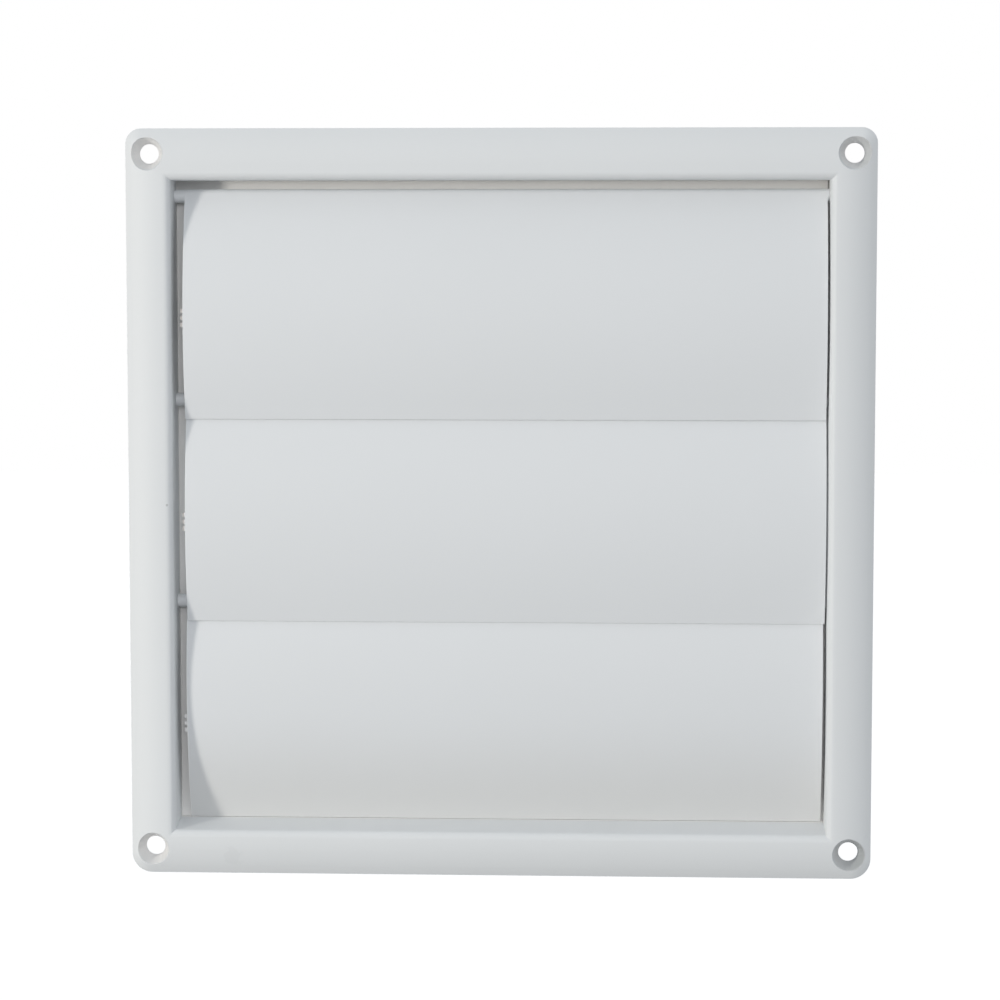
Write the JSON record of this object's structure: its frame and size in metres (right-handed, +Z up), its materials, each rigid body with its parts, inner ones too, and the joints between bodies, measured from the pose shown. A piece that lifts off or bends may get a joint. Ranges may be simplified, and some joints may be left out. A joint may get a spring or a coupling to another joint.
{
  "type": "extractor fan grille",
  "caption": "White square wall grille with a domed border, a round duct spigot behind it and overlapping curved flaps that swing outward in the air stream.",
  "frame": {"origin": "centre of the wall face, on the axis of the duct spigot", "axes": "+Y into the wall along the spigot, +Z up, +X to the right seen from the front; the front looks along -Y"},
  "size_m": [0.1896, 0.039, 0.1906],
  "materials": {
    "frame_plastic": "white moulded plastic, fine satin surface",
    "flap_plastic": "white moulded plastic, smooth satin surface"
  },
  "bodies": {
    "frame": {"frame": "frame_plastic"},
    "flap_top": {"flap_top": "flap_plastic"},
    "flap_middle": {"flap_middle": "flap_plastic"},
    "flap_bottom": {"flap_bottom": "flap_plastic"}
  },
  "joints": [
    {"name": "flap_top_hinge", "type": "hinge", "parent": "frame", "child": "flap_top", "pos_m": [0, -0.00495, 0.0784], "axis": [-1, 0, 0], "range_deg": [0, 80]},
    {"name": "flap_middle_hinge", "type": "hinge", "parent": "frame", "child": "flap_middle", "pos_m": [0, -0.00495, 0.02652], "axis": [-1, 0, 0], "range_deg": [0, 80]},
    {"name": "flap_bottom_hinge", "type": "hinge", "parent": "frame", "child": "flap_bottom", "pos_m": [0, -0.00495, -0.02537], "axis": [-1, 0, 0], "range_deg": [0, 80]}
  ],
  "couplings": [
    {"joint": "flap_middle_hinge", "follows": "flap_bottom_hinge", "ratio": 1},
    {"joint": "flap_top_hinge", "follows": "flap_bottom_hinge", "ratio": 1}
  ]
}
